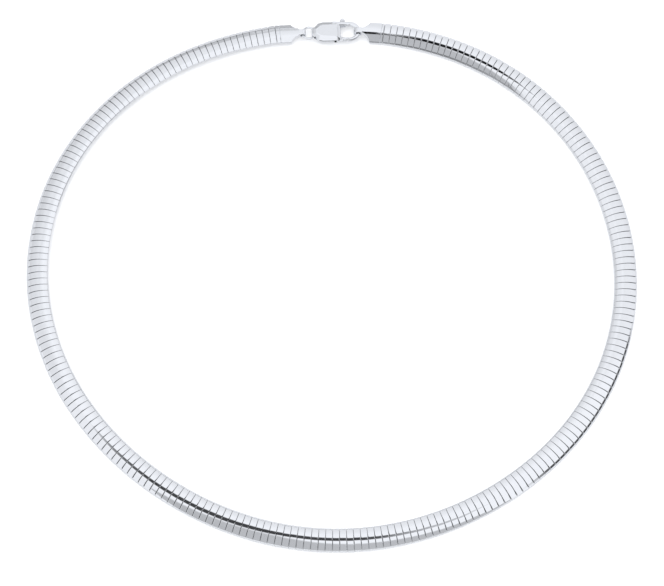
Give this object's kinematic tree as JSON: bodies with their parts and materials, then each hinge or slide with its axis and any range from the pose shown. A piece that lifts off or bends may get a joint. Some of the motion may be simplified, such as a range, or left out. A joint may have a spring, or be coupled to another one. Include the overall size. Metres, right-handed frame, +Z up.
{
  "type": "omega necklace",
  "caption": "Omega necklace of domed plates on a woven ribbon, with two end caps and a lobster clasp on a jump ring, lying flat as a closed oval loop.",
  "frame": {"origin": "middle of the lying loop's box, on the surface it lies on", "axes": "+Z up from the surface, +Y from the middle of the loop towards the clasp, +X towards the end that the hook takes"},
  "size_m": [0.1577, 0.1459, 0.0027],
  "materials": {
    "polished_plates": "bright polished silver",
    "woven_ribbon": "woven silver wire, satin",
    "polished_fittings": "bright polished silver"
  },
  "bodies": {
    "necklace": {"plates": "polished_plates", "mesh_ribbon": "woven_ribbon", "end_cap_left": "polished_fittings", "end_cap_right": "polished_fittings", "jump_ring": "polished_fittings", "clasp_body": "polished_fittings"},
    "lever": {"clasp_lever": "polished_fittings"}
  },
  "joints": [
    {"name": "lever_hinge", "type": "hinge", "parent": "necklace", "child": "lever", "pos_m": [0.0015, 0.06795, 0.0013], "axis": [0, 0, 1], "range_deg": [0, 20], "stiffness_Nm_per_rad": 0.002, "springref_deg": -11.46}
  ]
}
